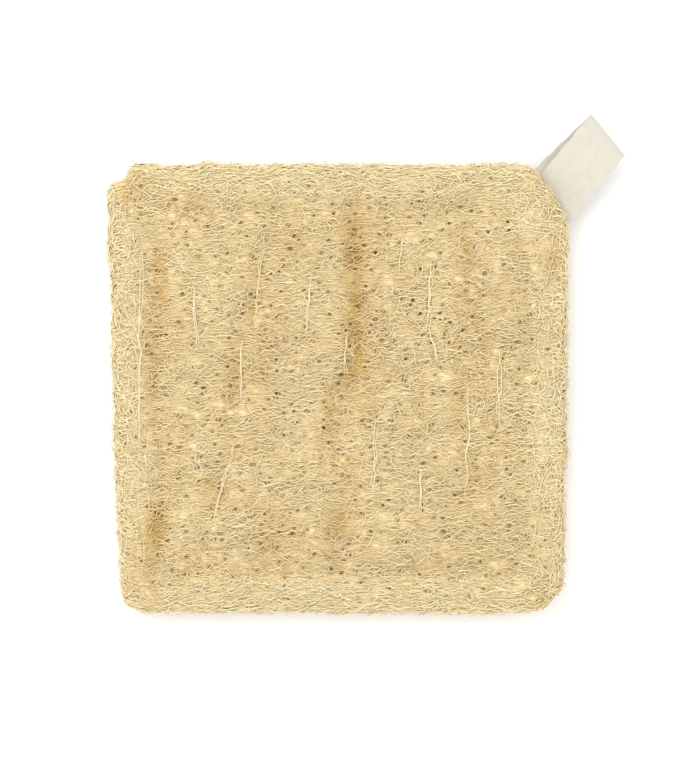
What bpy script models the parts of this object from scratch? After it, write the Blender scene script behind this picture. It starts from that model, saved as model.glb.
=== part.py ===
# Square washing pad of natural loofah. Two flattened pieces of the dried fruit's fibre net are
# sewn together round the edge and turned, so the seam lies inside and the rim is a firm bead.
# A folded cotton tape, its ends caught in the seam at one corner, is the hanging loop.
import math
import random

import bmesh
import bpy
from mathutils import Vector, noise

MM = 0.001

# The pad's outline, in mm from its middle: the outward direction and distance of each side and
# each worn corner, and how tightly they blend. The second is the corner that the tape folds flat.
EDGES = ((-0.6, 64.6), (35.9, 81.6), (90.0, 63.4), (135.0, 87.2),
         (181.8, 63.6), (225.0, 85.8), (270.0, 63.5), (315.0, 86.6))
CORNER_POWER = 60
HALF_WIDTH = 64.6
HALF_DEPTH = 63.5
OUTLINE_WAVE = 0.5

# Heights in mm. The two layers meet at the parting plane, half a gap either side of it.
PARTING = 6.6
GAP = 0.3
RIM_WALL = 2.0
BEAD_WIDTH = 6.5
TROUGH_INSET = 12.5
TROUGH_SPREAD = 3.4
FURROW_SPREAD = 3.4
SEAM_UNDERCUT = 0.4

# Each layer: net cells across and half-cells up, heights of its bead and field above the parting
# plane, depth of the trough behind the bead, and its furrows as x at the top edge, x at the
# bottom edge and depth. The furrows are the valleys between the fruit's lengthwise ridges.
FRONT = {"side": 1, "columns": 18, "rows": 54, "seed": 11, "bead": 6.5, "field": 6.0,
         "trough": 1.8, "furrows": ((-16.0, -43.0, 1.6), (6.0, -3.0, 1.8), (37.5, 36.5, 1.5))}
BACK = {"side": -1, "columns": 14, "rows": 40, "seed": 23, "bead": 6.2, "field": 6.1,
        "trough": 1.2, "furrows": ((-30.0, -36.0, 1.0), (-2.0, 4.0, 1.2), (34.0, 25.0, 1.0))}
COLUMN_CROWDING = 2.3
ROW_CROWDING = 1.0
CELL_JITTER = 0.2
MERGED_CELLS = 0.16
CLOSED_CELLS = 0.05
STRAND_HALF_WIDTH = 0.75
BORDER_STRAND_HALF_WIDTH = 0.5
PIT_DEPTH = 1.7
BORDER_PIT_DEPTH = 0.7
# Places where the underside's net is pressed flat and carries the pad.
REST_SPOTS = ((0.0, 0.0), (-46.0, -45.0), (46.0, -45.0), (44.0, 43.0), (-46.0, 45.0))

# The tape loop, in mm. It leaves the flattened corner at LOOP_ROOT.
TAPE_WIDTH = 15.0
TAPE_THICKNESS = 0.8
LOOP_ROOT = (61.0, 55.3)
LOOP_ANGLE = math.radians(47.2)
LOOP_LENGTH = 22.2
LOOP_SWELL = 4.3
FOLD_SKEW = math.tan(math.radians(8.3))
PLY_OFFSET = 1.0
TAIL_LENGTH = 10.0
MOUTH = 1.5

# The lockstitch line that holds layers and tape, lying just under the tape's tail.
THREAD_RADIUS = 0.4
SEAM_INSET = 6.5
SEAM_WANDER = 0.3
SEAM_POINTS = 40


def gauge(x, y):
    """0 at the pad's middle and 1 on its outline, for x and y in mm."""
    total = 0.0
    for degrees, distance in EDGES:
        angle = math.radians(degrees)
        reach = (x * math.cos(angle) + y * math.sin(angle)) / distance
        if reach > 0.0:
            total += reach ** CORNER_POWER
    return total ** (1.0 / CORNER_POWER)


def smooth(low, high, value):
    """0 below low, 1 above high, with a soft change between them."""
    t = min(max((value - low) / (high - low), 0.0), 1.0)
    return t * t * (3.0 - 2.0 * t)


def place_on_pad(u, v):
    """A point of the square from -1 to 1 as x and y of the pad in mm."""
    ring = max(abs(u), abs(v))
    if ring == 0.0:
        return 0.0, 0.0
    to_outline = ring / gauge(u, v)
    pull = ring ** 4
    x = u * (HALF_WIDTH * (1.0 - pull) + to_outline * pull)
    y = v * (HALF_DEPTH * (1.0 - pull) + to_outline * pull)
    angle = math.atan2(y, x)
    wave = noise.noise(Vector((math.cos(angle) * 7.0, math.sin(angle) * 7.0, 0.0)))
    grow = 1.0 + wave * OUTLINE_WAVE / HALF_WIDTH * pull
    return x * grow, y * grow


def crowd_to_edge(u, cells, crowding):
    """Moves the outer rows of the net closer to the rim, where the surface turns down."""
    half = cells / 2.0
    steps_in = (1.0 - abs(u)) * half
    inset = steps_in ** 2 / (steps_in + crowding)
    return math.copysign(1.0 - inset * (half + crowding) / half ** 2, u)


def surface_height(x, y, layer):
    """Height in mm of a layer's outer surface above its flat inner face, without the net."""
    inset = (1.0 - gauge(x, y)) * HALF_WIDTH
    climb = 1.0 - min(max(inset / BEAD_WIDTH, 0.0), 1.0)
    height = RIM_WALL + (layer["bead"] - RIM_WALL) * (1.0 - climb ** 2.3) ** (1.0 / 2.3)
    height -= (layer["bead"] - layer["field"]) * smooth(BEAD_WIDTH, TROUGH_INSET, inset)
    height -= layer["trough"] * math.exp(-((inset - TROUGH_INSET) / TROUGH_SPREAD) ** 2)
    open_field = smooth(BEAD_WIDTH, BEAD_WIDTH + 9.0, inset)
    for x_top, x_bottom, depth in layer["furrows"]:
        middle = x_bottom + (x_top - x_bottom) * (y + HALF_DEPTH) / (2.0 * HALF_DEPTH)
        middle += 1.6 * math.sin(y / 11.0 + x_top)
        height -= depth * open_field * math.exp(-((x - middle) / FURROW_SPREAD) ** 2)
    sway = noise.noise(Vector((x / 16.0, y / 26.0, layer["seed"])))
    return height + 0.45 * sway * open_field


def weave_lattice(bm, columns, rows):
    """Turns a square grid into lens-shaped cells: every other row shifts by half a cell, and
    only the slanting edges stay."""
    for vert in bm.verts:
        column = round((vert.co.x + 1.0) / 2.0 * columns)
        row = round((vert.co.y + 1.0) / 2.0 * rows)
        if row % 2 and 0 < column < columns:
            vert.co.x += 1.0 / columns
    bmesh.ops.triangulate(bm, faces=bm.faces, quad_method="SHORT_EDGE")
    level = [edge for edge in bm.edges
             if not edge.is_boundary and abs(edge.verts[0].co.y - edge.verts[1].co.y) < 0.5 / rows]
    bmesh.ops.dissolve_edges(bm, edges=level, use_verts=False)


def merge_cells(bm, draw):
    """Opens some cells into their neighbour, so that the net is uneven."""
    taken = set()
    doomed = []
    for face in bm.faces:
        if draw.random() > MERGED_CELLS or face in taken:
            continue
        edge = face.edges[draw.randrange(len(face.edges))]
        if edge.is_boundary or any(other in taken or len(other.verts) > 4
                                   for other in edge.link_faces):
            continue
        taken.update(edge.link_faces)
        doomed.append(edge)
    bmesh.ops.dissolve_edges(bm, edges=doomed, use_verts=False)


def inset_of(point):
    """Distance in mm from the rim, seen from above."""
    x, y = point.xy / MM
    return (1.0 - gauge(x, y)) * HALF_WIDTH


def make_net(name, layer):
    """One flattened layer: a net of raised strands round sunken cells, over a flat inner face."""
    columns, rows, side = layer["columns"], layer["rows"], layer["side"]
    draw = random.Random(layer["seed"])
    bpy.ops.mesh.primitive_grid_add(x_subdivisions=columns, y_subdivisions=rows, size=2.0)
    obj = bpy.context.object
    obj.name = name
    obj.data.name = name
    bm = bmesh.new()
    bm.from_mesh(obj.data)
    weave_lattice(bm, columns, rows)
    merge_cells(bm, draw)
    for vert in bm.verts:
        u, v = vert.co.xy
        if abs(u) < 1.0 - 1.5 / columns and abs(v) < 1.0 - 1.5 / rows:
            u += draw.uniform(-CELL_JITTER, CELL_JITTER) * 2.0 / columns
            v += draw.uniform(-CELL_JITTER, CELL_JITTER) * 4.0 / rows
        x, y = place_on_pad(crowd_to_edge(u, columns, COLUMN_CROWDING),
                            crowd_to_edge(v, rows, ROW_CROWDING))
        height = surface_height(x, y, layer)
        if not vert.is_boundary:
            height += draw.uniform(-0.35, 0.0)
        vert.co = Vector((x, y, PARTING + side * (GAP / 2.0 + height))) * MM
    if side < 0:
        bmesh.ops.reverse_faces(bm, faces=bm.faces)
    sink_cells(bm, draw, press_rest_spots(bm) if side < 0 else [])
    close_at_parting(bm, side)
    bm.to_mesh(obj.data)
    bm.free()
    return obj


def press_rest_spots(bm):
    """Levels the cell nearest each rest spot at the lowest plane of the pad."""
    pressed = []
    for spot in REST_SPOTS:
        here = Vector(spot) * MM
        cell = min(bm.faces, key=lambda face: (face.calc_center_median().xy - here).length)
        for vert in cell.verts:
            vert.co.z = 0.0
        pressed.append(cell)
    return pressed


def sink_cells(bm, draw, kept):
    """Sinks the middle of each cell and leaves its edges standing as strands."""
    bm.normal_update()
    for cell in list(bm.faces):
        if cell in kept or draw.random() < CLOSED_CELLS:
            continue
        if any(edge.is_boundary for edge in cell.edges):
            continue
        border = 1.0 - smooth(BEAD_WIDTH, TROUGH_INSET, inset_of(cell.calc_center_median()))
        width = STRAND_HALF_WIDTH + (BORDER_STRAND_HALF_WIDTH - STRAND_HALF_WIDTH) * border
        depth = PIT_DEPTH + (BORDER_PIT_DEPTH - PIT_DEPTH) * border
        depth *= draw.uniform(0.7, 1.2)
        bmesh.ops.inset_individual(bm, faces=[cell], thickness=width * MM, depth=-depth * MM,
                                   use_even_offset=True)


def close_at_parting(bm, side):
    """Carries the rim down to the parting plane, drawn in a little at the seam, and closes it."""
    rim = [edge for edge in bm.edges if edge.is_boundary]
    extruded = bmesh.ops.extrude_edge_only(bm, edges=rim)["geom"]
    lower = [item for item in extruded if isinstance(item, bmesh.types.BMVert)]
    for vert in lower:
        inward = Vector((vert.co.x, vert.co.y, 0.0)).normalized() * SEAM_UNDERCUT * MM
        vert.co -= inward
        vert.co.z = (PARTING + side * GAP / 2.0) * MM
    seam = [edge for edge in bm.edges if edge.is_boundary]
    bmesh.ops.contextual_create(bm, geom=seam)
    bmesh.ops.recalc_face_normals(bm, faces=bm.faces)


def ring_points(inset):
    """Points at equal angles along the outline drawn in by inset, wandering as a seam does."""
    points = []
    for step in range(SEAM_POINTS):
        angle = math.tau * step / SEAM_POINTS
        reach = 1.0 / gauge(math.cos(angle), math.sin(angle)) * (1.0 - inset / HALF_WIDTH)
        reach += SEAM_WANDER * math.sin(9.0 * angle)
        points.append((reach * math.cos(angle), reach * math.sin(angle)))
    return points


def add_spline(curve, points, height=0.0):
    spline = curve.splines.new("POLY")
    spline.points.add(len(points) - 1)
    for point, (x, y) in zip(spline.points, points):
        point.co = (x * MM, y * MM, height * MM, 1.0)
    spline.use_cyclic_u = True


def curve_to_object(name, curve):
    """The curve's mesh, welded, as a new object in place of the curve."""
    source = bpy.data.objects.new(name + "_curve", curve)
    bpy.context.scene.collection.objects.link(source)
    evaluated = source.evaluated_get(bpy.context.evaluated_depsgraph_get())
    mesh = bpy.data.meshes.new_from_object(evaluated)
    bpy.data.objects.remove(source)
    mesh.name = name
    bm = bmesh.new()
    bm.from_mesh(mesh)
    bmesh.ops.remove_doubles(bm, verts=bm.verts, dist=0.00001)
    bmesh.ops.recalc_face_normals(bm, faces=bm.faces)
    bm.to_mesh(mesh)
    bm.free()
    obj = bpy.data.objects.new(name, mesh)
    bpy.context.scene.collection.objects.link(obj)
    return obj


def make_thread():
    """The seam's thread, one round line a few mm inside the rim."""
    curve = bpy.data.curves.new("seam_thread", "CURVE")
    curve.dimensions = "3D"
    curve.bevel_depth = THREAD_RADIUS * MM
    curve.bevel_resolution = 1
    add_spline(curve, ring_points(SEAM_INSET), thread_height())
    return curve_to_object("seam_thread", curve)


def thread_height():
    return PARTING - TAPE_THICKNESS - GAP - THREAD_RADIUS


def make_thread_groove():
    """Cutter for the back layer: a square groove round the thread, open at the parting plane."""
    curve = bpy.data.curves.new("thread_groove", "CURVE")
    curve.dimensions = "2D"
    curve.fill_mode = "BOTH"
    reach = THREAD_RADIUS + GAP
    bottom = thread_height() - reach
    curve.extrude = (PARTING - bottom) / 2.0 * MM
    add_spline(curve, ring_points(SEAM_INSET - reach))
    add_spline(curve, ring_points(SEAM_INSET + reach))
    groove = curve_to_object("thread_groove", curve)
    groove.location.z = (PARTING + bottom) / 2.0 * MM
    return groove


def ply_middle(turn):
    """Half of the loop's upper side, as distance along it and height of the ply's middle."""
    along = MOUTH + (LOOP_LENGTH - TAPE_THICKNESS / 2.0 - MOUTH) * (1.0 - math.cos(turn)) / 2.0
    height = LOOP_SWELL * math.sin(turn) * math.sin(turn / 2.0) ** 1.2
    return along, height + TAPE_THICKNESS / 2.0 * math.cos(turn / 2.0)


def ply_surface(offset, steps=20):
    """Points on the upper ply from its mouth to the fold, at a distance off its middle."""
    points = []
    for step in range(steps + 1):
        turn = math.pi * step / steps
        x0, z0 = ply_middle(max(turn - 0.01, 0.0))
        x1, z1 = ply_middle(min(turn + 0.01, math.pi))
        along = Vector((x1 - x0, z1 - z0)).normalized()
        if step == steps:
            along = Vector((0.0, -1.0))
        x, z = ply_middle(turn)
        points.append((x - along.y * offset, z + along.x * offset))
    return points


def make_loop():
    """The tape, sewn flat in its tail and opening into an eye before its fold."""
    outer = [(-TAIL_LENGTH, TAPE_THICKNESS)] + ply_surface(TAPE_THICKNESS / 2.0)
    eye = [point for point in ply_surface(-TAPE_THICKNESS / 2.0) if point[1] > 0.15]
    mouth = eye[0][0] - 1.2
    eye = [(mouth, 0.0)] + eye + [(ply_surface(-TAPE_THICKNESS / 2.0)[-1][0], 0.0)]
    curve = bpy.data.curves.new("hanging_loop", "CURVE")
    curve.dimensions = "2D"
    curve.fill_mode = "BOTH"
    curve.extrude = TAPE_WIDTH / 2.0 * MM
    for half in (outer, eye):
        lower = [(x, -z) for x, z in reversed(half) if z > 0.001]
        add_spline(curve, half + lower)
    loop = curve_to_object("hanging_loop", curve)
    forward = Vector((math.cos(LOOP_ANGLE), math.sin(LOOP_ANGLE), 0.0))
    sideways = Vector((math.sin(LOOP_ANGLE), -math.cos(LOOP_ANGLE), 0.0))
    root = Vector((LOOP_ROOT[0], LOOP_ROOT[1], PARTING)) * MM
    for vert in loop.data.vertices:
        along, height, side = vert.co / MM
        reach = min(max(along / LOOP_LENGTH, 0.0), 1.0)
        along -= side * FOLD_SKEW * reach * reach
        side += PLY_OFFSET * (1.0 - reach) * min(max(height / TAPE_THICKNESS, -1.0), 1.0)
        vert.co = root + (forward * along + sideways * side + Vector((0.0, 0.0, height))) * MM
    return loop


def make_tail_pocket():
    """Cutter for both layers: the space that the tape's sewn tail fills."""
    length = TAIL_LENGTH + GAP + 8.0
    bpy.ops.mesh.primitive_cube_add(size=1.0)
    pocket = bpy.context.object
    pocket.name = "tail_pocket"
    size = Vector((length, TAPE_WIDTH + 2.0 * (PLY_OFFSET + GAP), 2.0 * (TAPE_THICKNESS + GAP)))
    for vert in pocket.data.vertices:
        vert.co = Vector(a * b for a, b in zip(vert.co, size)) * MM
    middle = 8.0 - length / 2.0
    pocket.rotation_euler.z = LOOP_ANGLE
    pocket.location = Vector((LOOP_ROOT[0] + middle * math.cos(LOOP_ANGLE),
                              LOOP_ROOT[1] + middle * math.sin(LOOP_ANGLE), PARTING)) * MM
    return pocket


def cut(obj, cutter):
    boolean = obj.modifiers.new(cutter.name, "BOOLEAN")
    boolean.operation = "DIFFERENCE"
    boolean.solver = "EXACT"
    boolean.object = cutter


def finish(obj, name, colour, roughness):
    """Gives a part its own plain material."""
    material = bpy.data.materials.new(name)
    material.use_nodes = True
    shader = material.node_tree.nodes["Principled BSDF"]
    shader.inputs["Base Color"].default_value = (*colour, 1.0)
    shader.inputs["Roughness"].default_value = roughness
    material.diffuse_color = (*colour, 1.0)
    obj.data.materials.clear()
    obj.data.materials.append(material)


def file_under(title, objects):
    collection = bpy.data.collections.new(title)
    bpy.context.scene.collection.children.link(collection)
    for obj in objects:
        for owner in list(obj.users_collection):
            owner.objects.unlink(obj)
        collection.objects.link(obj)


def centre_on_box(parts, cutters):
    """Moves everything sideways so that the origin is under the middle of the whole box."""
    corners = [part.matrix_world @ vert.co for part in parts for vert in part.data.vertices]
    shift = Vector((0.0, 0.0, 0.0))
    for axis in (0, 1):
        values = [corner[axis] for corner in corners]
        shift[axis] = -(min(values) + max(values)) / 2.0
    for obj in parts + cutters:
        obj.location += shift


for old in list(bpy.data.objects):
    bpy.data.objects.remove(old)

front = make_net("loofah_front", FRONT)
back = make_net("loofah_back", BACK)
loop = make_loop()
thread = make_thread()
pocket = make_tail_pocket()
groove = make_thread_groove()

cut(front, pocket)
cut(back, pocket)
cut(back, groove)
finish(front, "loofah_front_fibre", (0.72, 0.54, 0.27), 0.85)
finish(back, "loofah_back_fibre", (0.70, 0.52, 0.26), 0.85)
finish(loop, "cotton_tape", (0.84, 0.79, 0.67), 0.9)
finish(thread, "cotton_thread", (0.82, 0.77, 0.65), 0.8)

for cutter in (pocket, groove):
    cutter.hide_render = True
    cutter.display_type = "WIRE"
bpy.context.view_layer.update()
centre_on_box([front, back, loop, thread], [pocket, groove])
file_under("loofah_pad", [front, back, loop, thread])
file_under("cutters", [pocket, groove])
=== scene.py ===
# A square washing pad of natural loofah with a folded cotton tape loop, lying on its back.
# Lengths are in mm from the pad's middle until a mesh is written, which is in metres.
import math

import bpy
import numpy as np
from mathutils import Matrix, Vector


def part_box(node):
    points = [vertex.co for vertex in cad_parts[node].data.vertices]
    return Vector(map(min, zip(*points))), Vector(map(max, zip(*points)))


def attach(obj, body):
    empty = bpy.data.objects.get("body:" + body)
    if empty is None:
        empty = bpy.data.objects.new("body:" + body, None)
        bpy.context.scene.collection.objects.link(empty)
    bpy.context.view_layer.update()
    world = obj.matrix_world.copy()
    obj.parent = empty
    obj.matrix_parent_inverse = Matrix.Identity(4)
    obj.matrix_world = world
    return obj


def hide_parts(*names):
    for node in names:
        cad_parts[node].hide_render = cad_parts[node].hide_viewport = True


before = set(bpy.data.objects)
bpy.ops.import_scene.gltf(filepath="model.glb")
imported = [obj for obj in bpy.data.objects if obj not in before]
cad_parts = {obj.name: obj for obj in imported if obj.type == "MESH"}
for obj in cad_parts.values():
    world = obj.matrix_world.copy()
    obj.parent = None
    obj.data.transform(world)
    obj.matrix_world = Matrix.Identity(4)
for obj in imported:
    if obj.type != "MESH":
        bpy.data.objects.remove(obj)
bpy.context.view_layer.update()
bpy.ops.object.select_all(action="DESELECT")

# The view: straight down on the pad, a little left of and above its middle, as in the photograph.
# Floor and sky are white. A wide lamp from the upper left gives the fibre its relief, and a weaker
# one from the lower right fills the shadows.
MM = 0.001
PIXELS_PER_MM = 3.54
PICTURE_HEIGHT = 784 / PIXELS_PER_MM
CAMERA_HEIGHT = 2500.0
PAD_TOP = 12.0
VIEW_CENTRE = (-4.5, -7.86)
SENSOR = 36.0

lens = bpy.data.cameras.new("camera")
lens.sensor_width = SENSOR
lens.lens = SENSOR * (CAMERA_HEIGHT - PAD_TOP) / PICTURE_HEIGHT
lens.clip_start = 0.1
camera = bpy.data.objects.new("camera", lens)
camera.location = Vector((*VIEW_CENTRE, CAMERA_HEIGHT)) * MM
bpy.context.collection.objects.link(camera)
bpy.context.scene.camera = camera
bpy.context.scene.view_settings.view_transform = "Standard"

bpy.ops.mesh.primitive_plane_add(size=6.0)
floor = bpy.context.object
floor.name = "floor"
paper = bpy.data.materials.new("white_paper")
paper.use_nodes = True
paper.node_tree.nodes["Principled BSDF"].inputs["Base Color"].default_value = (0.94, 0.94, 0.935, 1.0)
paper.node_tree.nodes["Principled BSDF"].inputs["Roughness"].default_value = 0.9
floor.data.materials.append(paper)
floor.select_set(False)

sky = bpy.data.worlds.new("sky")
sky.use_nodes = True
sky.node_tree.nodes["Background"].inputs["Color"].default_value = (1.0, 1.0, 1.0, 1.0)
sky.node_tree.nodes["Background"].inputs["Strength"].default_value = 1.1
bpy.context.scene.world = sky

LAMPS = {"window": ((-0.5, 0.55, 1.0), 1.2, 8.0), "filler": ((0.6, -0.6, 1.0), 1.6, 4.0)}
for name, (place, size, power) in LAMPS.items():
    lamp = bpy.data.lights.new(name, "AREA")
    lamp.size = size
    lamp.energy = power
    light = bpy.data.objects.new(name, lamp)
    light.location = place
    light.rotation_euler = (-Vector(place)).to_track_quat("-Z", "Y").to_euler()
    bpy.context.collection.objects.link(light)

# Matted fibre: the body of each layer. A dried fruit is slit, pressed flat and cut square. Two such
# pieces are sewn face to face and turned, which rolls their edges into a thick rim with a seam at
# half height and a trough behind it. The fruit's own ridges still cross the field.
# EDGES holds the direction in degrees and the distance of each of the eight sides.
EDGES = ((-0.6, 64.6), (35.9, 81.6), (90.0, 63.4), (135.0, 87.2),
         (181.8, 63.6), (225.0, 85.8), (270.0, 63.5), (315.0, 86.6))
CORNER_POWER = 60
HALF_WIDTH = 64.6
HALF_DEPTH = 63.5
RIM_WALL = 2.0
BEAD_WIDTH = 6.5
TROUGH_INSET = 12.5
TROUGH_SPREAD = 3.4
FURROW_SPREAD = 3.4
FRONT = {"node": "loofah_front", "slot": "loofah_fibre", "side": 1, "seed": 11,
         "bead": 6.5, "field": 6.0, "trough": 1.8,
         "furrows": ((-16.0, -43.0, 1.6), (6.0, -3.0, 1.8), (37.5, 36.5, 1.5))}
BACK = {"node": "loofah_back", "slot": "loofah_fibre_back", "side": -1, "seed": 23,
        "bead": 6.2, "field": 6.1, "trough": 1.2,
        "furrows": ((-30.0, -36.0, 1.0), (-2.0, 4.0, 1.2), (34.0, 25.0, 1.0))}
HALF_GAP = 0.15
FLOOR_CLEARANCE = 0.28
MAT_DEPTH = 0.8
OPEN_FIELD = 9.0
OUTLINE_SHIFT = (0.11, 0.05)

front_low, front_high = (Vector(corner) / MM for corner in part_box("loofah_front"))
back_low, back_high = (Vector(corner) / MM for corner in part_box("loofah_back"))
PARTING = (front_low.z + back_high.z) / 2.0
PAD_MIDDLE = ((front_low + front_high) / 2.0).xy + Vector(OUTLINE_SHIFT)


def gauge(x, y):
    """0 at the pad's middle and 1 on its outline."""
    total = np.zeros_like(x)
    for degrees, distance in EDGES:
        angle = math.radians(degrees)
        reach = np.maximum((x * math.cos(angle) + y * math.sin(angle)) / distance, 0.0)
        total += reach ** CORNER_POWER
    return np.maximum(total, 1e-200) ** (1.0 / CORNER_POWER)


def smooth(low, high, value):
    """0 below low, 1 above high, with a soft change between them."""
    t = np.clip((value - low) / (high - low), 0.0, 1.0)
    return t * t * (3.0 - 2.0 * t)


def hills(x, y, width, depth, seed):
    """Soft random hills between -1 and 1, of that width and depth."""
    table = np.random.default_rng(seed).uniform(-1.0, 1.0, (256, 256))
    gx, gy = x / width + 128.0, y / depth + 128.0
    ix, iy = np.floor(gx).astype(int), np.floor(gy).astype(int)
    fx, fy = smooth(0.0, 1.0, gx - ix), smooth(0.0, 1.0, gy - iy)
    ix, iy, next_x, next_y = ix % 256, iy % 256, (ix + 1) % 256, (iy + 1) % 256
    low = table[iy, ix] * (1.0 - fx) + table[iy, next_x] * fx
    high = table[next_y, ix] * (1.0 - fx) + table[next_y, next_x] * fx
    return low * (1.0 - fy) + high * fy


def rim_distance(x, y):
    """How far a place lies inside the outline."""
    return (1.0 - gauge(x, y)) * HALF_WIDTH


def furrow_depth(x, y, layer):
    """How deep a place lies in the valleys between the fruit's ridges."""
    open_field = smooth(BEAD_WIDTH, BEAD_WIDTH + OPEN_FIELD, rim_distance(x, y))
    depth = np.zeros_like(x)
    for x_top, x_bottom, deepest in layer["furrows"]:
        middle = x_bottom + (x_top - x_bottom) * (y + HALF_DEPTH) / (2.0 * HALF_DEPTH)
        middle = middle + 1.6 * np.sin(y / 11.0 + x_top)
        depth += deepest * open_field * np.exp(-((x - middle) / FURROW_SPREAD) ** 2)
    return depth


def field_height(x, y, layer):
    """Height of a layer's outer face inside the rim, above the plane where the layers meet."""
    inset = rim_distance(x, y)
    level = layer["bead"] - (layer["bead"] - layer["field"]) * smooth(BEAD_WIDTH, TROUGH_INSET, inset)
    level -= layer["trough"] * np.exp(-((inset - TROUGH_INSET) / TROUGH_SPREAD) ** 2)
    level -= furrow_depth(x, y, layer)
    open_field = smooth(BEAD_WIDTH, BEAD_WIDTH + OPEN_FIELD, inset)
    return level + 0.45 * hills(x, y, 16.0, 26.0, layer["seed"]) * open_field


def measure_rim(layer):
    """The rim's section from the seam up and over, against the distance along the fibre."""
    climb = np.linspace(1.0, 0.0, 80)
    inset = np.concatenate([[1.6, 0.8, 0.3, 0.05], BEAD_WIDTH * (1.0 - climb)])
    level = RIM_WALL + (layer["bead"] - RIM_WALL) * (1.0 - climb ** 2.3) ** (1.0 / 2.3)
    level = np.concatenate([[0.0, 0.15, 0.55, 1.2], level])
    along = np.concatenate([[0.0], np.cumsum(np.hypot(np.diff(inset), np.diff(level)))])
    layer["rim"] = {"along": np.append(along, along[-1] + 100.0),
                    "inset": np.append(inset, inset[-1] + 100.0),
                    "level": np.append(level, level[-1])}
    layer["reach"] = 1.0 + (along[-1] - inset[-1]) / HALF_WIDTH
    slope = np.gradient(layer["rim"]["level"], layer["rim"]["along"])
    layer["rim"]["outward"] = np.clip(slope, 0.0, 1.0)


measure_rim(FRONT)
measure_rim(BACK)

# Places where the cut edge falls short: x, y, how far round it and how deep
NICKS = ((-62.5, 61.0, 3.2, 1.7), (-49.0, 63.0, 4.0, 0.5), (60.0, -60.0, 4.0, 1.2), (-64.0, 22.0, 4.0, 0.4),
         (64.0, -30.0, 5.0, 0.4), (-20.0, -63.0, 6.0, 0.4), (30.0, 63.0, 6.0, 0.3))


def outline_wander(x, y):
    """How far the cut edge strays outwards, where it isn't quite straight."""
    stray = 0.45 * hills(x, y, 6.0, 6.0, 71) + 0.3 * hills(x, y, 2.0, 2.0, 72)
    for nick_x, nick_y, spread, depth in NICKS:
        stray = stray - depth * np.exp(-((x - nick_x) ** 2 + (y - nick_y) ** 2) / spread ** 2)
    return stray


def lay(x, y, lift, layer):
    """Takes places on a layer spread out flat, and lifts off it, to the sewn and turned pad."""
    radius = np.maximum(gauge(x, y), 1e-6)
    rim = layer["rim"]
    along = np.maximum((layer["reach"] - radius) * HALF_WIDTH, 0.05)
    inset = np.interp(along, rim["along"], rim["inset"])
    outward = np.interp(along, rim["along"], rim["outward"])
    scale = (1.0 - inset / HALF_WIDTH) / radius
    edge = smooth(14.0, 3.0, inset) / HALF_WIDTH
    scale = scale * (1.0 + edge * outline_wander(x * scale, y * scale))
    far = np.maximum(np.hypot(x, y), 1.0)
    px = x * scale + x / far * outward * lift
    py = y * scale + y / far * outward * lift
    level = np.where(inset < BEAD_WIDTH, np.interp(along, rim["along"], rim["level"]),
                     field_height(x * scale, y * scale, layer))
    level = level + lift * np.sqrt(1.0 - outward ** 2)
    z = PARTING + layer["side"] * (HALF_GAP + level)
    z = np.maximum(z, FLOOR_CLEARANCE) if layer["side"] < 0 else np.maximum(z, PARTING)
    return np.stack([px, py, z], axis=-1)


def to_metres(places):
    """Turns places on the pad into one flat row of numbers for a mesh, in metres in the frame."""
    return ((places + np.array([*PAD_MIDDLE, 0.0])) * MM).ravel()


# Brown stains of the fruit's flesh: x, y, half-width, half-height, lean and strength
STAINS = ((-50.0, 32.0, 1.8, 7.0, -0.12, 1.0), (-52.5, 13.0, 2.6, 16.0, 0.05, 0.55),
          (-52.0, -40.0, 3.0, 9.0, 0.05, 0.85), (-47.0, -28.0, 3.0, 9.0, 0.0, 0.35),
          (-13.5, 41.5, 4.0, 4.0, 0.6, 0.45), (-22.0, 25.0, 3.5, 9.0, 0.1, 0.4),
          (-30.5, 4.0, 2.4, 8.0, 0.05, 0.6), (-23.5, 4.0, 2.6, 6.0, 0.0, 0.35),
          (4.5, 42.0, 3.4, 10.0, 0.05, 0.65), (5.0, 21.0, 3.6, 14.0, 0.0, 0.75),
          (6.0, 4.0, 2.8, 9.0, -0.05, 0.95), (-2.5, -9.5, 3.0, 7.0, 0.1, 0.6),
          (1.5, -25.0, 3.0, 8.0, 0.0, 0.4), (1.0, -38.0, 3.6, 5.0, 0.3, 0.7),
          (36.0, 40.5, 2.6, 5.0, 0.0, 0.45), (35.0, 27.0, 2.6, 8.0, 0.0, 0.5),
          (34.5, 11.0, 2.2, 8.0, 0.0, 0.4), (33.5, -3.0, 2.2, 7.0, 0.0, 0.5),
          (41.5, 4.0, 2.2, 14.0, 0.0, 0.35), (39.0, -27.0, 2.6, 9.0, 0.0, 0.4),
          (-35.0, -29.0, 3.5, 3.5, -0.4, 0.5), (-26.0, -33.5, 4.0, 2.2, -0.5, 0.45),
          (-19.0, -41.0, 2.6, 6.0, 0.0, 0.55), (-58.0, 56.0, 5.0, 5.0, 0.0, 0.6),
          (60.0, 35.5, 2.8, 6.0, 0.1, 0.55), (-57.0, -56.0, 5.0, 4.0, 0.0, 0.3),
          (58.0, -58.0, 4.0, 4.0, 0.0, 0.3), (-43.0, 50.0, 5.0, 4.0, 0.0, 0.3))
# Bleached places, in the same terms
PALE_PLACES = ((-39.0, -14.0, 2.2, 8.0, 0.15, 0.8), (-43.5, -34.5, 3.5, 5.0, 0.0, 0.8),
               (50.0, 48.0, 8.0, 7.0, 0.0, 0.7), (0.0, 54.0, 7.0, 4.0, 0.0, 0.5),
               (-46.0, 49.0, 4.0, 3.0, 0.0, 0.4), (53.0, -8.0, 6.0, 10.0, 0.0, 0.4),
               (-34.0, 20.0, 5.0, 12.0, 0.1, 0.35), (21.0, 24.0, 6.0, 12.0, 0.0, 0.3),
               (18.0, -30.0, 8.0, 8.0, 0.0, 0.35), (-12.0, -15.0, 5.0, 9.0, 0.0, 0.3))


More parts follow.
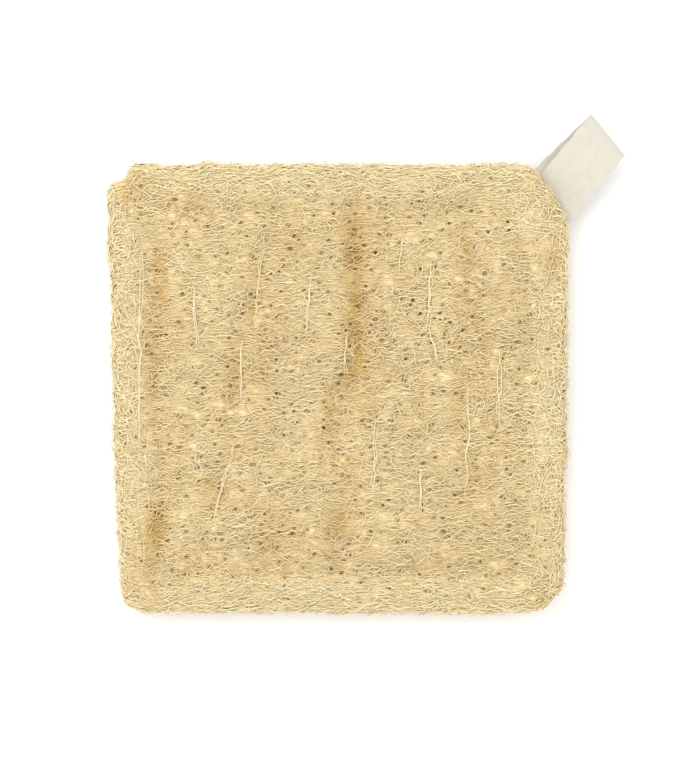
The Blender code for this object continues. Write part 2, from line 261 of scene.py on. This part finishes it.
def patches(x, y, places):
    """Soft oval patches added up, 1 where one is strongest."""
    total = np.zeros_like(x)
    for px, py, wide, tall, lean, strength in places:
        aside = (x - px - lean * (y - py)) / wide
        total += strength * np.exp(-(aside ** 2 + ((y - py) / tall) ** 2) * 0.8)
    return np.clip(total, 0.0, 1.0)


def local_colour(x, y, layer):
    """Lightness and stain that a place adds to every fibre on it."""
    rim = rim_distance(x, y)
    border = 1.0 - smooth(BEAD_WIDTH + 1.0, TROUGH_INSET - 1.0, rim)
    flip = layer["side"]
    stain = patches(x * flip, y, STAINS) * (0.8 + 0.5 * hills(x, y, 2.0, 5.0, 61))
    light = 0.08 * border + 0.1 * patches(x * flip, y, PALE_PLACES) - 0.07 * stain
    light += 0.035 * hills(x, y, 11.0, 14.0, layer["seed"] + 7) + 0.03 * hills(x, y, 3.0, 3.0, 62)
    return light, np.clip(stain, 0.0, 1.0)


class Wire:
    """A shader socket that takes Python's operators."""

    def __init__(self, tree, socket):
        self.tree = tree
        self.socket = socket

    def math(self, operation, left, right):
        return node(self.tree, "ShaderNodeMath", {"operation": operation}, {0: left, 1: right})

    def __add__(self, other):
        return self.math("ADD", self, other)

    def __sub__(self, other):
        return self.math("SUBTRACT", self, other)

    def __mul__(self, other):
        return self.math("MULTIPLY", self, other)

    def __radd__(self, other):
        return self.math("ADD", other, self)

    def __rsub__(self, other):
        return self.math("SUBTRACT", other, self)

    def __rmul__(self, other):
        return self.math("MULTIPLY", other, self)


def node(tree, kind, settings=None, inputs=None, output=0):
    """Adds a node, with its settings and the values or wires of its inputs."""
    made = tree.nodes.new(kind)
    for key, value in (settings or {}).items():
        if key == "stops":
            while len(made.color_ramp.elements) < len(value):
                made.color_ramp.elements.new(0.5)
            for element, (position, colour) in zip(made.color_ramp.elements, value):
                element.position = position
                element.color = (*colour, 1.0)
        else:
            setattr(made, key, value)
    for key, value in (inputs or {}).items():
        if isinstance(value, Wire):
            tree.links.new(value.socket, made.inputs[key])
        else:
            made.inputs[key].default_value = value
    return Wire(tree, made.outputs[output])


# Colours for tone 0 to 1. The near-black and brown low end is reached in painted shade, in the mat's pits
# and on fibre that lies deep.
FIBRE_STOPS = ((0.0, (0.10, 0.06, 0.02)), (0.25, (0.50, 0.355, 0.16)),
               (0.5, (0.81, 0.665, 0.385)), (0.75, (0.88, 0.775, 0.51)), (1.0, (0.92, 0.86, 0.66)))
STAIN_COLOUR = (0.91, 0.80, 0.56, 1.0)


def fibre_material(name, grain, grain_scale, relief):
    """Dry matt plant fibre, brown where stained; its tone carries painted shade, cream where the fibre
    stands proud and brown deep down.
    """
    material = bpy.data.materials.new(name)
    material.use_nodes = True
    tree = material.node_tree
    shader = tree.nodes["Principled BSDF"]
    tone = node(tree, "ShaderNodeAttribute", {"attribute_name": "tone"}, output="Fac")
    stain = node(tree, "ShaderNodeAttribute", {"attribute_name": "stain"}, output="Fac")
    place = node(tree, "ShaderNodeTexCoord", output="Object")
    drawn_out = node(tree, "ShaderNodeMapping", {}, {"Vector": place, "Scale": grain_scale})
    flecks = node(tree, "ShaderNodeTexNoise", {}, {"Vector": drawn_out, "Scale": 1.0, "Detail": 3.0})
    mixed = tone + (flecks - 0.5) * grain
    clean = node(tree, "ShaderNodeValToRGB", {"stops": FIBRE_STOPS}, {0: mixed})
    stained = node(tree, "ShaderNodeMix", {"data_type": "RGBA", "blend_type": "MULTIPLY"},
                   {0: stain, 6: clean, 7: STAIN_COLOUR}, output=2)
    tree.links.new(stained.socket, shader.inputs["Base Color"])
    if relief:
        bump = node(tree, "ShaderNodeBump", {}, {"Height": flecks, "Strength": 0.5, "Distance": relief})
        tree.links.new(bump.socket, shader.inputs["Normal"])
    shader.inputs["Roughness"].default_value = 0.75
    shader.inputs["Specular IOR Level"].default_value = 0.25
    return material


mat_finish = fibre_material("matted_fibre", 0.5, (500.0, 1500.0, 1500.0), 0.0003)
strand_finish = fibre_material("loofah_strand", 0.16, (300.0, 1200.0, 1200.0), 0.0)


def give_colour(mesh, tone, stain):
    """Stores each point's lightness and stain, which the fibre's material reads."""
    for name, values in (("tone", tone), ("stain", stain)):
        layer = mesh.attributes.new(name, "FLOAT", "POINT")
        layer.data.foreach_set("value", np.clip(values, 0.0, 1.0).astype(np.float32).ravel())


def join_pad(piece, layer):
    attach(piece, "root")
    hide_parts(layer["node"])


FINDER_CELL = 0.25
FINDER_SPAN = 75.0
PORE_REACH = (1.6, 1.0)


def scatter_pores(layer, count):
    """Places where strands part over a pit, and a fine grid that finds the nearest."""
    draw = np.random.default_rng(layer["seed"] + 100)
    x = draw.uniform(-HALF_WIDTH - 2.0, HALF_WIDTH + 2.0, count)
    y = draw.uniform(-HALF_DEPTH - 2.0, HALF_DEPTH + 2.0, count)
    keep = rim_distance(x, y) > draw.uniform(-4.0, 8.0, len(x))
    x, y = x[keep], y[keep]
    strength = draw.random(len(x)) ** 2.0
    cells = int(2 * FINDER_SPAN / FINDER_CELL)
    finder = np.full((cells, cells), -1, dtype=int)
    axis = (np.arange(cells) + 0.5) * FINDER_CELL - FINDER_SPAN
    for number in np.argsort(strength):
        columns = slice(*np.searchsorted(axis, (x[number] - PORE_REACH[0], x[number] + PORE_REACH[0])))
        rows = slice(*np.searchsorted(axis, (y[number] - PORE_REACH[1], y[number] + PORE_REACH[1])))
        finder[rows, columns] = number
    return {"x": x, "y": y, "strength": strength, "finder": finder}


def nearest_pore(x, y, pores):
    """How far places lie across and along from a pore, and how strong it is, 0 for none."""
    limit = pores["finder"].shape[0] - 1
    column = np.clip(((x + FINDER_SPAN) / FINDER_CELL).astype(int), 0, limit)
    row = np.clip(((y + FINDER_SPAN) / FINDER_CELL).astype(int), 0, limit)
    number = pores["finder"][row, column]
    strength = np.where(number >= 0, pores["strength"][number], 0.0)
    return x - pores["x"][number], y - pores["y"][number], strength


FRONT["pores"] = scatter_pores(FRONT, 3000)
BACK["pores"] = scatter_pores(BACK, 1200)


def make_mat(name, layer, cells):
    """The matted body of one layer, a grid turned over the rim and closed at the seam."""
    bpy.ops.mesh.primitive_grid_add(x_subdivisions=cells, y_subdivisions=cells, size=2.0)
    mat = bpy.context.object
    mat.name = name
    mesh = mat.data
    spots = np.empty(len(mesh.vertices) * 3)
    mesh.vertices.foreach_get("co", spots)
    u, v = spots.reshape(-1, 3)[:, 0], spots.reshape(-1, 3)[:, 1]
    ring = np.maximum(np.maximum(np.abs(u), np.abs(v)), 1e-6)
    pull = ring ** 4
    to_outline = ring / np.maximum(gauge(u, v), 1e-6) * pull
    x = u * (HALF_WIDTH * (1.0 - pull) + to_outline) * layer["reach"]
    y = v * (HALF_DEPTH * (1.0 - pull) + to_outline) * layer["reach"]
    streaks = hills(x, y, 3.4, 0.9, 51) + 0.7 * hills(x, y, 1.7, 0.8, 52)
    dx, dy, strength = nearest_pore(x, y, layer["pores"])
    pit = (0.15 + 0.85 * strength) * (strength > 0.0) * np.exp(-(dx / 0.55) ** 2 - (dy / 0.5) ** 2)
    places = lay(x, y, 0.15 * streaks - MAT_DEPTH - 1.3 * pit, layer)
    light, stain = local_colour(places[:, 0], places[:, 1], layer)
    # The mat's tone is painted darker in its pits and in the hollows between its streaks, and lighter on
    # the streaks: painted shade.
    give_colour(mesh, 0.47 + light + 0.04 * streaks - 0.55 * pit, stain)
    mesh.vertices.foreach_set("co", to_metres(places))
    unwrapped = mesh.uv_layers.new(name="OFBake")
    corners = np.empty(len(mesh.loops), dtype=np.int32)
    mesh.loops.foreach_get("vertex_index", corners)
    unwrapped.data.foreach_set("uv", (np.stack([u, v], axis=1)[corners] * 0.495 + 0.5).ravel())
    bpy.ops.object.mode_set(mode="EDIT")
    bpy.ops.mesh.select_mode(type="EDGE")
    bpy.ops.mesh.select_all(action="DESELECT")
    bpy.ops.mesh.select_non_manifold()
    bpy.ops.mesh.edge_face_add()
    bpy.ops.mesh.select_all(action="SELECT")
    bpy.ops.mesh.normals_make_consistent(inside=False)
    bpy.ops.object.mode_set(mode="OBJECT")
    bpy.ops.object.shade_smooth()
    mesh.materials.append(mat_finish)
    join_pad(mat, layer)
    mat.select_set(False)


make_mat("back_mat", BACK, 100)
make_mat("front_mat", FRONT, 200)


# The net: vascular strands that run across the fruit side by side, meet and part, and so leave
# long narrow cells between them. They rise and sink through each other and wrap over the rim.
def part_strands(x, y, pores):
    """Moves strands up or down, away from the middle of a pore."""
    dx, dy, strength = nearest_pore(x, y, pores)
    near = np.exp(-(dx / 0.9) ** 2) * np.clip(1.0 - np.abs(dy), 0.0, 1.0)
    return y + np.sign(dy) * near * (0.1 + 0.55 * strength) * (strength > 0.0)


def taper(points, power=0.5):
    """Thickness along a strand, 1 in the middle and thin at both ends."""
    t = np.linspace(0.0, 1.0, points)
    return 0.3 + 0.7 * np.sin(math.pi * t) ** power


def strand_faces(points, sides):
    """Faces and atlas places of one closed tube: its corners, face sizes and corner places."""
    ring, side = np.meshgrid(np.arange(points - 1), np.arange(sides), indexing="ij")
    ring, side = ring.ravel(), side.ravel()
    here, beside = ring * sides + side, ring * sides + (side + 1) % sides
    quads = np.stack([here, here + sides, beside + sides, beside], axis=1)
    quad_places = np.stack([np.stack([ring + 1, side], 1), np.stack([ring + 2, side], 1),
                            np.stack([ring + 2, side + 1], 1), np.stack([ring + 1, side + 1], 1)], axis=1)
    first = np.arange(sides)
    after = (first + 1) % sides
    tip, last = points * sides, (points - 1) * sides
    starts = np.stack([np.full(sides, tip), first, after], axis=1)
    ends = np.stack([np.full(sides, tip + 1), last + after, last + first], axis=1)
    zero, one = np.zeros(sides), np.full(sides, points + 1.0)
    start_places = np.stack([np.stack([zero, first + 0.5], 1), np.stack([zero + 1, first], 1),
                             np.stack([zero + 1, first + 1], 1)], axis=1)
    end_places = np.stack([np.stack([one, first + 0.5], 1), np.stack([one - 1, first + 1], 1),
                           np.stack([one - 1, first], 1)], axis=1)
    corners = np.concatenate([quads.ravel(), starts.ravel(), ends.ravel()])
    sizes = np.concatenate([np.full(len(quads), 4), np.full(2 * sides, 3)])
    places = np.concatenate([quad_places.reshape(-1, 2), start_places.reshape(-1, 2),
                             end_places.reshape(-1, 2)]) / np.array([points + 1.0, sides])
    return corners, sizes, places


def make_strands(name, layer, path, radius, tone, stain, sides=3):
    """One piece of many strands: path is strands x points x 3, the rest strands x points."""
    count, points = radius.shape
    along = np.gradient(path, axis=1)
    along /= np.linalg.norm(along, axis=2, keepdims=True) + 1e-9
    aside = np.cross(along, np.array([0.0, 0.0, 1.0]))
    aside /= np.linalg.norm(aside, axis=2, keepdims=True) + 1e-6
    upward = np.cross(aside, along)
    turn = np.arange(sides) * math.tau / sides + math.pi / 2.0
    ring = (aside[:, :, None, :] * np.cos(turn)[None, None, :, None]
            + upward[:, :, None, :] * np.sin(turn)[None, None, :, None])
    tube = path[:, :, None, :] + ring * radius[:, :, None, None]
    tips = np.stack([path[:, 0] - along[:, 0] * radius[:, :1] * 2.0,
                     path[:, -1] + along[:, -1] * radius[:, -1:] * 2.0], axis=1)
    verts = np.concatenate([tube.reshape(count, points * sides, 3), tips], axis=1).reshape(-1, 3)
    verts[:, 2] = np.maximum(verts[:, 2], 0.02)
    corners, sizes, places = strand_faces(points, sides)
    stride = points * sides + 2
    loops = (corners[None, :] + np.arange(count)[:, None] * stride).ravel()
    sizes = np.tile(sizes, count)
    mesh = bpy.data.meshes.new(name)
    mesh.vertices.add(count * stride)
    mesh.vertices.foreach_set("co", to_metres(verts))
    mesh.loops.add(len(loops))
    mesh.loops.foreach_set("vertex_index", loops.astype(np.int32))
    mesh.polygons.add(len(sizes))
    mesh.polygons.foreach_set("loop_start", np.concatenate([[0], np.cumsum(sizes)[:-1]]).astype(np.int32))
    mesh.polygons.foreach_set("use_smooth", np.ones(len(sizes), dtype=bool))
    mesh.update(calc_edges=True)
    atlas = math.ceil(math.sqrt(count))
    cell = np.stack([np.arange(count) % atlas, np.arange(count) // atlas], axis=1)
    spots = (cell[:, None, :] + 0.15 + 0.7 * places[None, :, :]) / atlas
    mesh.uv_layers.new(name="OFBake").data.foreach_set("uv", spots.astype(np.float32).ravel())
    give_colour(mesh, *(np.concatenate([np.repeat(v, sides, axis=1), v[:, :1], v[:, -1:]], axis=1)
                        for v in (tone, stain)))
    mesh.materials.append(strand_finish)
    strands = bpy.data.objects.new(name, mesh)
    bpy.context.collection.objects.link(strands)
    join_pad(strands, layer)


def make_net(name, layer, spacing, cell, points, depth, swing, thickness, tone, seed):
    """Rows of strands from seam to seam, in antiphase, so that neighbours meet and part."""
    draw = np.random.default_rng(seed)
    starts, ends, levels, rows = [], [], [], []
    half = HALF_DEPTH * layer["reach"]
    probe = np.arange(0.0, 90.0, 0.25)
    for row, level in enumerate(np.arange(-half + spacing / 2.0, half, spacing)):
        flat = np.full_like(probe, level)
        right = probe[gauge(probe, flat) < layer["reach"]].max(initial=0.0)
        left = -probe[gauge(-probe, flat) < layer["reach"]].max(initial=0.0)
        pieces = max(round((right - left) / draw.uniform(11.0, 15.0)), 1)
        cuts = np.linspace(left, right, pieces + 1)
        cuts[1:-1] += draw.uniform(-3.5, 3.5, pieces - 1)
        starts.extend(cuts[:-1])
        ends.extend(cuts[1:] + draw.uniform(-0.6, 1.6, pieces))
        levels.extend([level] * pieces)
        rows.extend([row] * pieces)
    starts, ends, levels, rows = (np.array(v)[:, None] for v in (starts, ends, levels, rows))
    count = len(starts)
    t = np.linspace(0.0, 1.0, points)[None, :]
    x = starts + (ends - starts) * t
    phase = math.pi * (2.0 * x / cell + rows) + 2.6 * hills(x, levels, 7.0, 5.0, seed + 1)
    swell = 0.3 + 0.22 * hills(x, levels, 6.0, 5.0, seed + 2)
    y = levels + spacing * swell * np.sin(phase) + draw.normal(0.0, 0.1, (count, 1))
    y += 1.5 * hills(x, y, 14.0, 11.0, seed + 3) + 0.55 * hills(x, y, 4.5, 3.5, seed + 4)
    y += 0.3 * hills(x + 31.0 * rows, y, 1.9, 1.9, seed + 5)
    y = part_strands(x, y, layer["pores"])
    bob = draw.uniform(0.0, math.tau, (count, 1)) + x * draw.uniform(0.7, 1.3, (count, 1))
    ends_down = 1.0 - np.sin(math.pi * t) ** 0.3
    lift = depth + swing * np.sin(bob) - 0.6 * ends_down + draw.normal(0.0, 0.08, (count, 1))
    path = lay(x, y, lift, layer)
    radius = thickness * draw.uniform(0.7, 1.25, (count, 1)) * taper(points, 0.35)
    light, stain = local_colour(path[..., 0], path[..., 1], layer)
    # Strands are painted darker the lower they lie, and darker still where their ends dive under: painted
    # shade.
    shade = tone + light + 0.15 * (lift - depth) + draw.normal(0.0, 0.035, (count, 1))
    shade += 0.05 * hills(x + 31.0 * rows, y, 2.4, 2.4, seed + 6)
    make_strands(name, layer, path, radius, shade, stain)


make_net("back_net_deep", BACK, 1.3, 4.6, 11, -0.6, 0.2, 0.3, 0.5, 300)
make_net("back_net", BACK, 1.3, 4.6, 11, -0.25, 0.25, 0.26, 0.56, 310)
make_net("front_net_deep", FRONT, 1.0, 3.7, 18, -0.5, 0.15, 0.27, 0.52, 330)
make_net("front_net", FRONT, 1.0, 3.4, 18, -0.3, 0.2, 0.24, 0.56, 340)


# Wisps: short branches of the net that lie over it, mostly along its run, some across or curled.
def make_wisps(name, layer, count, length, bend, spread, lift, thickness, tone, points, seed):
    """Loose branches scattered over a layer, each a short curve of even steps."""
    draw = np.random.default_rng(seed)
    x = draw.uniform(-HALF_WIDTH - 3.0, HALF_WIDTH + 3.0, count)
    y = draw.uniform(-HALF_DEPTH - 3.0, HALF_DEPTH + 3.0, count)
    run = 0.25 * hills(x, y, 14.0, 11.0, seed + 1) + 0.2 * hills(x, y, 5.0, 4.0, seed + 2)
    heading = run + draw.normal(0.0, spread, count)
    curve = draw.normal(0.0, bend, count) / (points - 1)
    step = draw.uniform(*length, count) / (points - 1)
    order = np.arange(points) - (points - 1) / 2.0
    angle = heading[:, None] + curve[:, None] * order[None, :]
    angle += draw.normal(0.0, 0.12, (count, points))
    px = x[:, None] + np.cumsum(np.cos(angle) * step[:, None], axis=1)
    py = y[:, None] + np.cumsum(np.sin(angle) * step[:, None], axis=1)
    px -= px.mean(axis=1, keepdims=True) - x[:, None]
    py -= py.mean(axis=1, keepdims=True) - y[:, None]
    on_pad = gauge(px, py).max(axis=1) < layer["reach"] - 0.01
    px, py = px[on_pad], py[on_pad]
    py = part_strands(px, py, layer["pores"])
    count = len(px)
    t = np.linspace(0.0, 1.0, points)[None, :]
    high = draw.uniform(*lift, (count, 1)) + 0.4 * (np.sin(math.pi * t) - 0.8)
    path = lay(px, py, high, layer)
    radius = draw.uniform(*thickness, (count, 1)) * taper(points)
    light, stain = local_colour(path[..., 0], path[..., 1], layer)
    # Wisps are painted darker the lower they lie and towards their sunken ends: painted shade.
    shade = tone + light + 0.15 * high + draw.normal(0.0, 0.06, (count, 1))
    make_strands(name, layer, path, radius, shade, stain * 0.8)


make_wisps("front_wisps", FRONT, 4000, (2.2, 6.5), 1.4, 0.5, (-0.3, 0.2), (0.14, 0.22), 0.58, 5, 350)
make_wisps("front_cross_wisps", FRONT, 2400, (1.6, 4.5), 1.8, 1.2, (-0.3, 0.15), (0.13, 0.2), 0.57, 5, 360)
make_wisps("front_curls", FRONT, 600, (4.0, 11.0), 3.2, 0.9, (-0.15, 0.2), (0.12, 0.18), 0.6, 8, 370)
make_wisps("back_wisps", BACK, 1900, (3.0, 8.0), 1.4, 0.5, (-0.3, 0.2), (0.15, 0.23), 0.6, 5, 380)


# Ribs: long strands that run down the fruit on the crests of its ridges, and branch into the net.
RIBS = (((-27.3, 14.0), (-27.3, -3.5)), ((-21.0, 44.0), (-23.8, 19.0)), ((18.0, 43.0), (17.3, 32.5)),
        ((26.6, 36.0), (25.3, 16.0)), ((25.3, 17.0), (28.0, 7.0)), ((36.8, 2.0), (36.0, -32.0)),
        ((-29.0, -15.0), (-36.5, -39.0)), ((23.8, -22.0), (23.0, -35.0)), ((2.5, 17.0), (1.8, 3.5)),
        ((-55.5, 45.0), (-56.5, -20.0)), ((-41.0, 30.0), (-40.0, 10.0)), ((46.0, 12.0), (45.0, -12.0)),
        ((11.0, -8.0), (9.5, -30.0)), ((-8.0, 33.0), (-9.0, 15.0)))


def make_ribs(name, layer, ribs, seed):
    """Two strands side by side along each rib, with sunken ends."""
    draw = np.random.default_rng(seed)
    points = 16
    t = np.linspace(0.0, 1.0, points)[None, :]
    tops, bottoms = np.array(ribs)[:, 0], np.array(ribs)[:, 1]
    tops, bottoms = np.repeat(tops, 2, axis=0), np.repeat(bottoms, 2, axis=0)
    count = len(tops)
    x = tops[:, :1] * (1.0 - t) + bottoms[:, :1] * t
    y = tops[:, 1:] * (1.0 - t) + bottoms[:, 1:] * t
    order = np.arange(count)[:, None]
    x = x + 0.7 * hills(x + 50.0 * order, y, 5.0, 5.0, seed + 1) + 0.25 * hills(x, y, 2.0, 2.0, seed + 2)
    high = 0.12 + 0.12 * np.sin(t * 14.0 + order) - 0.5 * (1.0 - np.sin(math.pi * t) ** 0.3)
    path = lay(x, y, high, layer)
    light, stain = local_colour(path[..., 0], path[..., 1], layer)
    thick = draw.uniform(0.17, 0.24, (count, 1)) * taper(points)
    make_strands(name, layer, path, thick, 0.68 + light, stain * 0.5)


make_ribs("front_ribs", FRONT, RIBS, 390)


# The rim: strands pressed together along the turned edge, and stray ends that stand off it.
def make_rim(name, layer, count, seed):
    """Strands that follow the outline, close to the seam."""
    draw = np.random.default_rng(seed)
    points = 5
    angle = draw.uniform(0.0, math.tau, count)
    from_seam = draw.uniform(0.0, 1.0, count) ** 0.9 * 15.0
    t = np.linspace(-0.5, 0.5, points)[None, :]
    length = draw.uniform(2.5, 9.0, (count, 1))
    slant = draw.normal(0.0, 0.35, (count, 1))
    radius = layer["reach"] / gauge(np.cos(angle), np.sin(angle))[:, None]
    turned = angle[:, None] + length * t * np.cos(slant) / radius
    bow = draw.normal(0.0, 0.5, (count, 1)) * (1.0 - 4.0 * t ** 2)
    inward = np.clip(from_seam[:, None] + length * t * np.sin(slant) + bow, 0.2, None)
    reach = (layer["reach"] - inward / HALF_WIDTH) / gauge(np.cos(turned), np.sin(turned))
    high = draw.uniform(-0.35, 0.15, (count, 1)) - 1.2 * t ** 2
    path = lay(reach * np.cos(turned), reach * np.sin(turned), high, layer)
    light, stain = local_colour(path[..., 0], path[..., 1], layer)
    # Rim strands are painted darker the lower they lie and towards their diving ends: painted shade.
    shade = 0.57 + light + 0.2 * high + draw.normal(0.0, 0.05, (count, 1))
    thick = draw.uniform(0.13, 0.22, (count, 1)) * taper(points)
    make_strands(name, layer, path, thick, shade, stain)


def make_tufts(name, layer, count, seed):
    """Short stray ends that rise off the rim."""
    draw = np.random.default_rng(seed)
    points = 5
    angle = draw.uniform(0.0, math.tau, count)
    t = np.linspace(0.0, 1.0, points)[None, :]
    from_seam = draw.uniform(0.2, 6.0, (count, 1))
    length = draw.uniform(0.8, 2.6, (count, 1))
    slant = draw.uniform(-1.5, 1.5, (count, 1))
    rise = 0.4 + 1.1 * draw.random((count, 1)) ** 2.0
    radius = layer["reach"] / gauge(np.cos(angle), np.sin(angle))[:, None]
    turned = angle[:, None] + length * t * np.sin(slant) / radius
    inward = np.clip(from_seam + length * t * np.cos(slant) * 0.5, 0.1, None)
    reach = (layer["reach"] - inward / HALF_WIDTH) / gauge(np.cos(turned), np.sin(turned))
    high = -0.3 + rise * np.sin(t * draw.uniform(1.2, 2.8, (count, 1)))
    path = lay(reach * np.cos(turned), reach * np.sin(turned), high, layer)
    light, stain = local_colour(path[..., 0], path[..., 1], layer)
    thick = draw.uniform(0.11, 0.2, (count, 1)) * (1.0 - 0.6 * t)
    make_strands(name, layer, path, thick, 0.52 + light, stain)


make_rim("front_rim", FRONT, 1700, 400)
make_rim("back_rim", BACK, 1200, 410)
make_tufts("front_tufts", FRONT, 900, 420)
make_tufts("back_tufts", BACK, 600, 430)


# The hanging loop: one length of unbleached cotton tape in plain weave, folded once, with both ends
# caught in the corner seam. The plies lie together at the seam and open into an eye at the fold.
TAPE_WIDTH = 15.0
TAPE_THICKNESS = 0.8
CLOTH_THICKNESS = 0.55
THREAD_PITCH = 0.5
LOOP_ROOT = (61.0, 55.3)
LOOP_ANGLE = math.radians(47.2)
LOOP_LENGTH = 22.7
LOOP_SWELL = 4.3
FOLD_SKEW = math.tan(math.radians(8.3))
PLY_OFFSET = 1.2
TAIL_LENGTH = 7.0
MOUTH = 1.5
TAPE_STEPS = 90
TAPE_COLUMNS = 26


def tape_middle(turn):
    """Half of the tape's upper side, as distance along the loop and height."""
    along = MOUTH + (LOOP_LENGTH - TAPE_THICKNESS / 2.0 - MOUTH) * (1.0 - np.cos(turn)) / 2.0
    height = LOOP_SWELL * np.sin(turn) * np.sin(turn / 2.0) ** 1.2
    return along, height + TAPE_THICKNESS / 2.0 * np.cos(turn / 2.0)


def tape_line():
    """Evenly spaced points along the tape's middle, from its lower end round to its upper end."""
    along, height = tape_middle(np.linspace(0.0, math.pi, 200))
    along = np.concatenate([[-TAIL_LENGTH], along])
    height = np.concatenate([[TAPE_THICKNESS / 2.0], height])
    line = np.concatenate([np.stack([along, -height], 1), np.stack([along, height], 1)[-2::-1]])
    run = np.concatenate([[0.0], np.cumsum(np.hypot(*np.diff(line, axis=0).T))])
    even = np.linspace(0.0, run[-1], TAPE_STEPS + 1)
    return np.stack([np.interp(even, run, line[:, 0]), np.interp(even, run, line[:, 1])], 1), run[-1]


def weave_material(thread_pitch):
    """Plain woven cotton: threads over and under, a little uneven, with slubs."""
    material = bpy.data.materials.new("cotton_tape")
    material.use_nodes = True
    tree = material.node_tree
    shader = tree.nodes["Principled BSDF"]
    lengthwise = node(tree, "ShaderNodeAttribute", {"attribute_name": "run"}, output="Fac")
    widthwise = node(tree, "ShaderNodeAttribute", {"attribute_name": "side"}, output="Fac")
    place = node(tree, "ShaderNodeTexCoord", output="Object")
    slubs = node(tree, "ShaderNodeTexNoise", {}, {"Vector": place, "Scale": 420.0, "Detail": 2.0})
    warp = node(tree, "ShaderNodeMath", {"operation": "SINE"}, {0: widthwise * (math.tau / thread_pitch)})
    weft = node(tree, "ShaderNodeMath", {"operation": "SINE"}, {0: lengthwise * (math.tau / thread_pitch)})
    height = warp * weft + (slubs - 0.5) * 1.5
    # The cloth's colour follows the weave's height: painted shade where threads dip under and painted
    # highlight where they rise over, with real unevenness from the slubs.
    stops = ((0.0, (0.44, 0.41, 0.34)), (0.5, (0.60, 0.565, 0.48)), (1.0, (0.65, 0.62, 0.54)))
    colour = node(tree, "ShaderNodeValToRGB", {"stops": stops}, {0: height * 0.3 + 0.5})
    bump = node(tree, "ShaderNodeBump", {}, {"Height": height, "Strength": 0.5, "Distance": 0.00008})
    tree.links.new(colour.socket, shader.inputs["Base Color"])
    tree.links.new(bump.socket, shader.inputs["Normal"])
    shader.inputs["Roughness"].default_value = 0.85
    shader.inputs["Sheen Weight"].default_value = 0.15
    return material


line, tape_run = tape_line()
bpy.ops.mesh.primitive_grid_add(x_subdivisions=TAPE_STEPS, y_subdivisions=TAPE_COLUMNS, size=2.0)
tape = bpy.context.object
tape.name = "cotton_loop"
spots = np.empty(len(tape.data.vertices) * 3)
tape.data.vertices.foreach_get("co", spots)
run = (spots.reshape(-1, 3)[:, 0] + 1.0) / 2.0
side = spots.reshape(-1, 3)[:, 1] * TAPE_WIDTH / 2.0
step = run * TAPE_STEPS
along = np.interp(step, np.arange(TAPE_STEPS + 1), line[:, 0])
height = np.interp(step, np.arange(TAPE_STEPS + 1), line[:, 1])
edge = side + 0.12 * np.sin(along * 1.1 + side) * np.abs(side) / 7.5
reach = np.clip(along / LOOP_LENGTH, 0.0, 1.0)
height = height + 0.12 * np.sin(along * 0.9 + side * 0.5) * np.sin(math.pi * reach)
skewed = along - side * FOLD_SKEW * reach ** 2
aside = edge + PLY_OFFSET * (1.0 - reach) * np.clip(2.0 * height / TAPE_THICKNESS, -1.0, 1.0)
places = np.stack([LOOP_ROOT[0] + math.cos(LOOP_ANGLE) * skewed + math.sin(LOOP_ANGLE) * aside,
                   LOOP_ROOT[1] + math.sin(LOOP_ANGLE) * skewed - math.cos(LOOP_ANGLE) * aside,
                   PARTING + height], axis=1)
tape.data.vertices.foreach_set("co", to_metres(places))
for name, values in (("run", run * tape_run * MM), ("side", side * MM)):
    attribute = tape.data.attributes.new(name, "FLOAT", "POINT")
    attribute.data.foreach_set("value", values.astype(np.float32))
thicken = tape.modifiers.new("thickness", "SOLIDIFY")
thicken.thickness = CLOTH_THICKNESS * MM
thicken.offset = 0.0
bpy.ops.object.modifier_apply(modifier="thickness")
bpy.ops.object.shade_smooth_by_angle(angle=math.radians(50.0))
tape.data.materials.clear()
tape.data.materials.append(weave_material(THREAD_PITCH * MM))
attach(tape, "root")
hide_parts("hanging_loop")
tape.select_set(False)

# The sewing thread: spun and plied unbleached cotton. It joins both layers and the tape a few mm
# inside the rim, and is hidden because the pad is turned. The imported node's shape is kept.
def thread_material():
    """Slanting plies of matt cotton, painted lighter on their crests and darker in the grooves between
    them: painted light and shade.
    """
    material = bpy.data.materials.new("cotton_thread")
    material.use_nodes = True
    tree = material.node_tree
    shader = tree.nodes["Principled BSDF"]
    place = node(tree, "ShaderNodeTexCoord", output="Object")
    plies = node(tree, "ShaderNodeTexWave", {"bands_direction": "DIAGONAL"},
                 {"Vector": place, "Scale": 600.0, "Distortion": 1.5}, output="Fac")
    # The plies' colour follows their height: painted shade in the grooves, painted highlight on the crests.
    colour = node(tree, "ShaderNodeValToRGB",
                  {"stops": ((0.0, (0.42, 0.38, 0.31)), (1.0, (0.62, 0.58, 0.49)))}, {0: plies})
    bump = node(tree, "ShaderNodeBump", {}, {"Height": plies, "Strength": 0.5, "Distance": 0.0001})
    tree.links.new(colour.socket, shader.inputs["Base Color"])
    tree.links.new(bump.socket, shader.inputs["Normal"])
    shader.inputs["Roughness"].default_value = 0.85
    return material


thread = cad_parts["seam_thread"]
thread.data.materials.clear()
thread.data.materials.append(thread_material())
